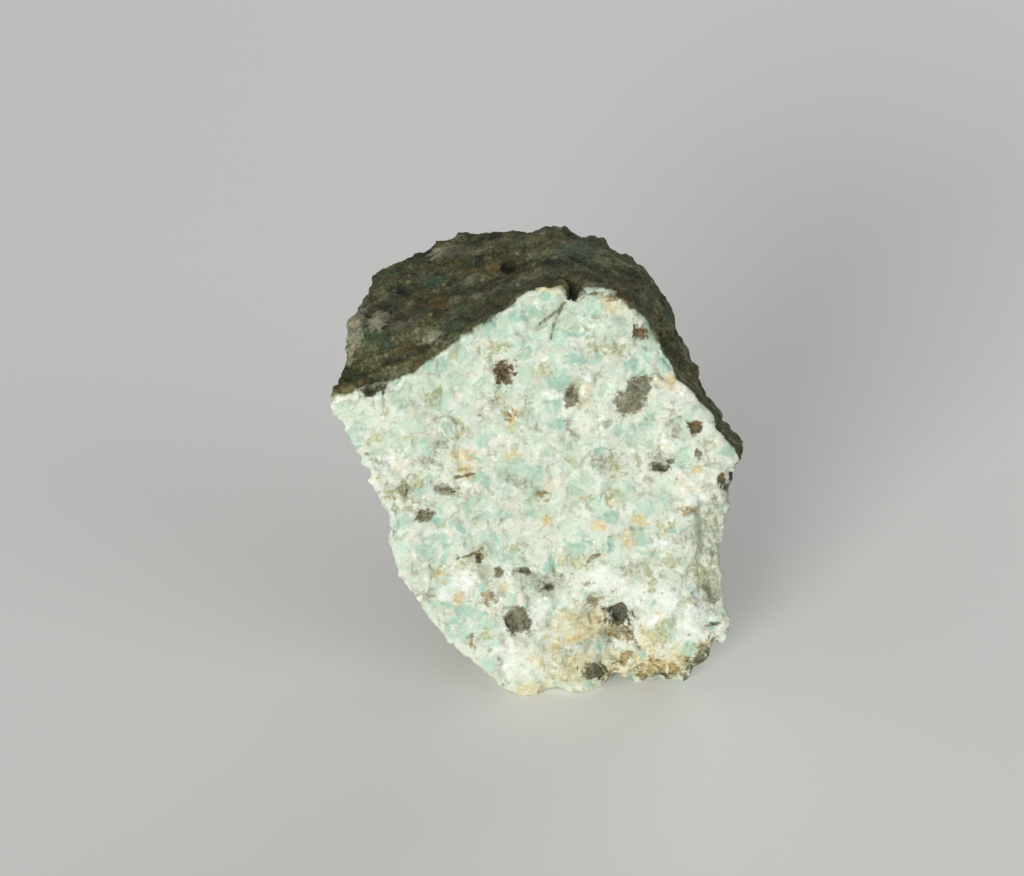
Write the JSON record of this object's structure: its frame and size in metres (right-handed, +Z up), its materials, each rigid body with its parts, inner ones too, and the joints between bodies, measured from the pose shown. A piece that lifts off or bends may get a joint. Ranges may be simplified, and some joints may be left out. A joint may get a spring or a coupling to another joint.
{
  "type": "rough amazonite",
  "caption": "Rough chip of coarse-grained amazonite rock: a pale green and white broken face, a dull weathered skin on top and behind, and a small flat spot it stands on.",
  "frame": {"origin": "middle of the stone's bounding box, on the surface that it stands on", "axes": "+Z up, and the broken pale face looks to -Y"},
  "size_m": [0.0372, 0.0254, 0.0384],
  "materials": {
    "stone": "rough broken crystals, dull weathered skin on top and behind"
  },
  "bodies": {
    "root": {"amazonite": "stone"}
  },
  "joints": []
}
